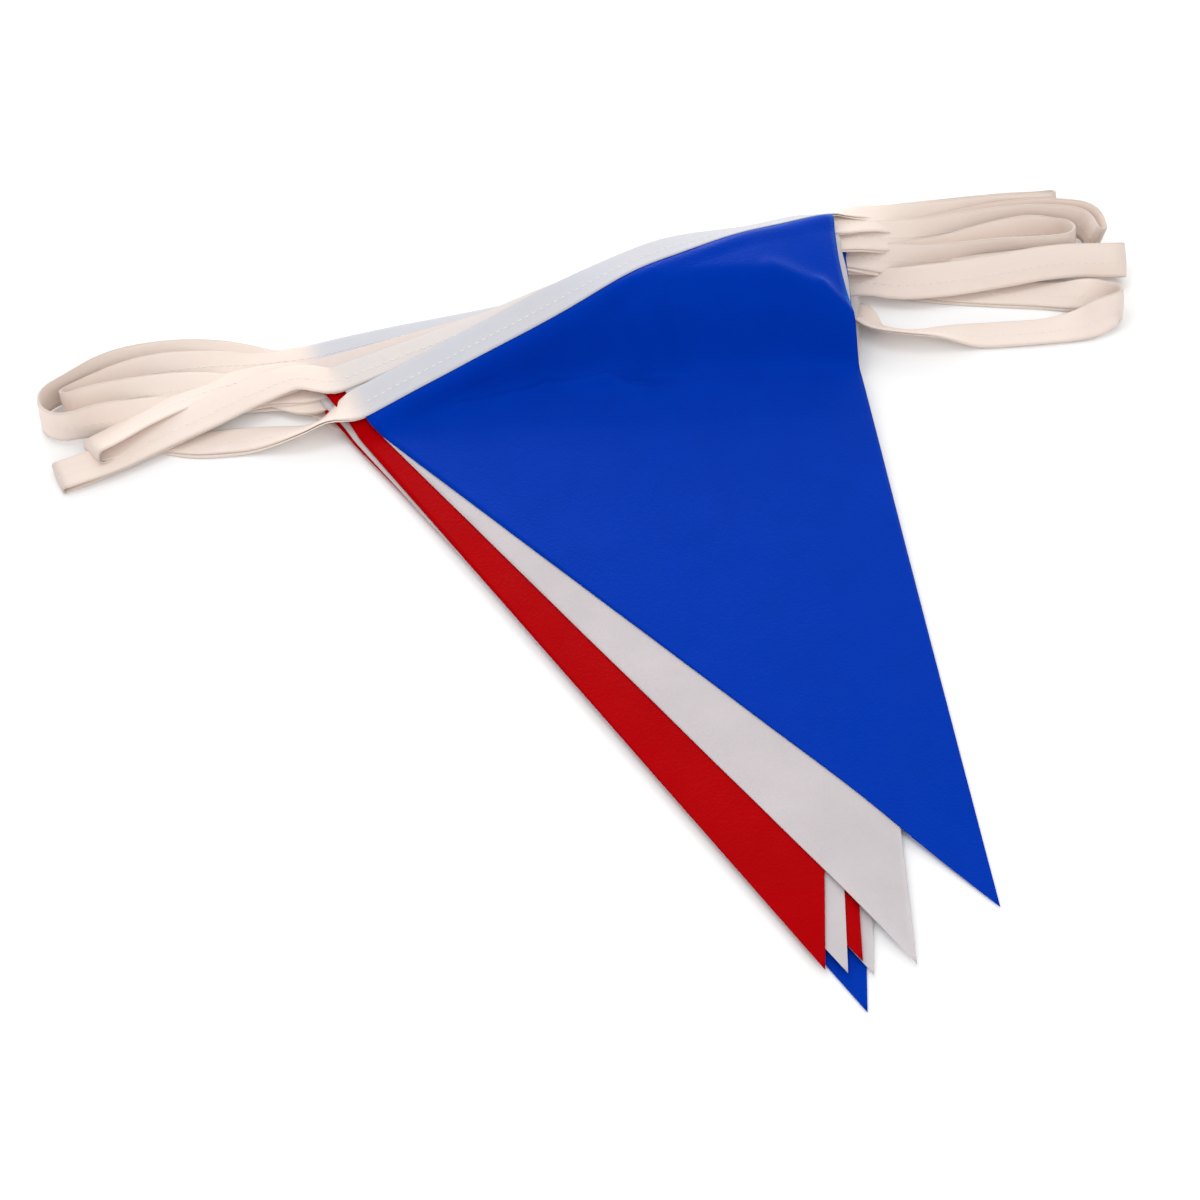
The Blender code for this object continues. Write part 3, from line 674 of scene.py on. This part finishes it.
class BuntingSizes(PropertyGroup):
    """What a user would measure"""
    width: FloatProperty(name="Pennant width", description="Along the open edge of the tape",
                         default=0.2, min=0.1, max=0.3, unit="LENGTH")
    film: FloatProperty(name="Film", description="Thickness of a pennant",
                        default=0.00022, min=0.0001, max=0.0004, unit="LENGTH")
    band: FloatProperty(name="Folded tape", description="Width of the tape folded in half",
                        default=0.0135, min=0.008, max=0.02, unit="LENGTH")
    wall: FloatProperty(name="Tape wall", description="Thickness of the tape",
                        default=0.00034, min=0.0001, max=0.0006, unit="LENGTH")
    stitch: FloatProperty(name="Stitch", description="From one stitch to the next",
                          default=0.0031, min=0.002, max=0.01, unit="LENGTH")


class BuntingColours(PropertyGroup):
    """Colours of the films, the tape and the floor"""
    blue: FloatVectorProperty(name="Blue", description="Colour of the blue films",
                              subtype="COLOR", size=3, default=(0.0003, 0.031, 0.38))
    white: FloatVectorProperty(name="White", description="Colour of the white films",
                               subtype="COLOR", size=3, default=(0.69, 0.64, 0.655))
    red: FloatVectorProperty(name="Red", description="Colour of the red films",
                             subtype="COLOR", size=3, default=(0.38, 0.0003, 0.0015))
    tape: FloatVectorProperty(name="Tape", description="Colour of the loose tape",
                              subtype="COLOR", size=3, default=(0.92, 0.785, 0.705))
    tape_warm: FloatVectorProperty(name="Tape, warmer", description="Colour mixed a little into the tape",
                                   subtype="COLOR", size=3, default=(0.92, 0.70, 0.58))
    tape_blue: FloatVectorProperty(name="Tape over blue", description="Colour of the tape round a blue pennant",
                                   subtype="COLOR", size=3, default=(0.60, 0.615, 0.67))
    tape_white: FloatVectorProperty(name="Tape over white", description="Colour of the tape round a white pennant",
                                    subtype="COLOR", size=3, default=(0.70, 0.655, 0.635))
    tape_red: FloatVectorProperty(name="Tape over red", description="Colour of the tape round a red pennant",
                                  subtype="COLOR", size=3, default=(0.72, 0.62, 0.585))
    thread: FloatVectorProperty(name="Thread", description="Colour of the sewing thread",
                                subtype="COLOR", size=3, default=(0.93, 0.90, 0.88))
    # painted shade: the thread's colour in the grooves between its plies, where its relief lies low
    thread_groove_shade: FloatVectorProperty(name="Thread, darker", description="Colour of the thread between its plies",
                                     subtype="COLOR", size=3, default=(0.80, 0.76, 0.74))
    floor: FloatVectorProperty(name="Floor", description="Colour of the floor",
                               subtype="COLOR", size=3, default=(0.98, 0.98, 0.98))


# ---- operators

class BUNTING_OT_pennants(Operator):
    """Lays the ten films in their pile"""
    bl_idname = "bunting.pennants"
    bl_label = "Pennants"

    def execute(self, context):
        sizes, colours = context.scene.bunting_sizes, context.scene.bunting_colours
        films = {film: film_material(f"film_{film}", getattr(colours, film), GLINTS[film], SEE_THROUGH[film])
                 for film in GLINTS}
        for k, row in enumerate(PENNANTS):
            points = film_points(k, sizes)
            length = run_length(points[:, FILM_ACROSS // 2])
            width = run_length(points[MOUTH_ROW])
            piece = grid_piece(f"film_{k + 1}", points, (1.0, length / width), sizes.film, films[row["film"]])
            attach(piece, "root")
            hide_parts(row["name"])
        return {"FINISHED"}


class BUNTING_OT_tape(Operator):
    """Runs the folded tape round the pennants and through its turns"""
    bl_idname = "bunting.tape"
    bl_label = "Tape and stitches"

    def execute(self, context):
        sizes, colours = context.scene.bunting_sizes, context.scene.bunting_colours
        points, tints, arc, normal = tape_grid(sizes, colours)
        around = np.linalg.norm(np.diff(points, axis=1), axis=2).sum(axis=1).mean() * MM
        tape = grid_piece("tape_folded", points, (1.0, arc[-1] * MM / around), sizes.wall,
                          tape_material(colours), tints)
        stitches = stitch_piece(points, arc, normal, sizes, thread_material(colours))
        for piece in (tape, stitches):
            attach(piece, "root")
        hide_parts("tape")
        return {"FINISHED"}


def stitch_piece(points, arc, normal, sizes, thread):
    """The seam along the tape: short threads on both outer faces, as one mesh."""
    bm = bmesh.new()
    count = int(arc[-1] * MM / sizes.stitch)
    marks = (np.arange(count) + 0.5) * arc[-1] / count
    shape = Matrix.Diagonal((sizes.stitch * STITCH_LENGTH, *THREAD, 1.0))
    for column, side in ((SEAM, 1.0), (points.shape[1] - 1 - SEAM, -1.0)):
        seam = points[:, column]
        line, ahead, out = (np.array([np.interp(marks + lead, arc, values[:, i]) for i in range(3)]).T
                            for values, lead in ((seam, 0.0), (seam, STITCH_LEAD), (normal, 0.0)))
        for p, q, n in zip(line, ahead, out):
            x = Vector(q - p).normalized()
            y = (Vector(n) * side).cross(x).normalized()
            z = x.cross(y)
            turned = Matrix((x, y, z)).transposed().to_4x4()
            place = Matrix.Translation(Vector(put(p)) + z * (sizes.wall * 0.5))
            bmesh.ops.create_icosphere(bm, subdivisions=1, radius=1.0, matrix=place @ turned @ shape)
    for face in bm.faces:
        face.smooth = True
    mesh = bpy.data.meshes.new("stitches")
    bm.to_mesh(mesh)
    bm.free()
    mesh.materials.append(thread)
    obj = bpy.data.objects.new("stitches", mesh)
    bpy.context.scene.collection.objects.link(obj)
    return obj


# the stage, in metres and watts
FLOOR_HALF = 3.0
ROOM_LIGHT = 0.98             # strength of the plain white surroundings
LIGHTS = (
    dict(name="back_light", place=(-0.3, 1.4, 0.5), aim=(0.0, 0.05, 0.0), size=0.7, energy=7.0),
    dict(name="top_light", place=(-0.35, 0.3, 1.4), aim=(0.0, 0.0, 0.0), size=0.45, energy=2.5),
)
LENS, SENSOR = 120.0, 36.0    # mm
CAMERA_PLACE = (0.0026, -0.9707, 1.0988)
CAMERA_TILT = 41.05           # degrees up from straight down


class BUNTING_OT_stage(Operator):
    """Sets the floor, the soft light and the camera"""
    bl_idname = "bunting.stage"
    bl_label = "Floor, light and camera"

    def execute(self, context):
        scene = context.scene
        bm = bmesh.new()
        bmesh.ops.create_grid(bm, x_segments=4, y_segments=4, size=FLOOR_HALF)
        mesh = bpy.data.meshes.new("floor")
        bm.to_mesh(mesh)
        bm.free()
        mesh.materials.append(floor_material(scene.bunting_colours.floor))
        floor = bpy.data.objects.new("floor", mesh)
        scene.collection.objects.link(floor)

        world = bpy.data.worlds.new("soft_room")
        world.use_nodes = True
        sky = world.node_tree.nodes["Background"]
        sky.inputs["Color"].default_value = (1.0, 1.0, 1.0, 1.0)
        sky.inputs["Strength"].default_value = ROOM_LIGHT
        scene.world = world
        scene.view_settings.view_transform = "Standard"
        for row in LIGHTS:
            lamp = bpy.data.lights.new(row["name"], "AREA")
            lamp.shape, lamp.size, lamp.energy = "SQUARE", row["size"], row["energy"]
            light = bpy.data.objects.new(row["name"], lamp)
            light.location = row["place"]
            way = Vector(row["aim"]) - Vector(row["place"])
            light.rotation_euler = way.to_track_quat("-Z", "Y").to_euler()
            scene.collection.objects.link(light)

        lens = bpy.data.cameras.new("camera")
        lens.lens, lens.sensor_width, lens.clip_start = LENS, SENSOR, 0.01
        camera = bpy.data.objects.new("camera", lens)
        camera.location = CAMERA_PLACE
        camera.rotation_euler = (math.radians(CAMERA_TILT), 0.0, 0.0)
        scene.collection.objects.link(camera)
        scene.camera = camera
        return {"FINISHED"}


class BUNTING_PT_panel(Panel):
    """Sizes, colours and the pieces' buttons"""
    bl_label = "Bunting"
    bl_idname = "BUNTING_PT_panel"
    bl_space_type = "VIEW_3D"
    bl_region_type = "UI"
    bl_category = "Bunting"

    def draw(self, context):
        for group, settings in ((BuntingSizes, context.scene.bunting_sizes),
                                (BuntingColours, context.scene.bunting_colours)):
            for key in group.__annotations__:
                self.layout.prop(settings, key)
        for operator in OPERATORS:
            self.layout.operator(operator.bl_idname)


OPERATORS = (BUNTING_OT_pennants, BUNTING_OT_tape, BUNTING_OT_stage)
CLASSES = (BuntingSizes, BuntingColours, *OPERATORS, BUNTING_PT_panel)


def register():
    for cls in CLASSES:
        bpy.utils.register_class(cls)
    bpy.types.Scene.bunting_sizes = PointerProperty(type=BuntingSizes)
    bpy.types.Scene.bunting_colours = PointerProperty(type=BuntingColours)


def unregister():
    del bpy.types.Scene.bunting_sizes
    del bpy.types.Scene.bunting_colours
    for cls in reversed(CLASSES):
        bpy.utils.unregister_class(cls)


def main():
    register()
    bpy.ops.bunting.pennants()
    bpy.ops.bunting.tape()
    bpy.ops.bunting.stage()


if __name__ == "__main__":
    main()
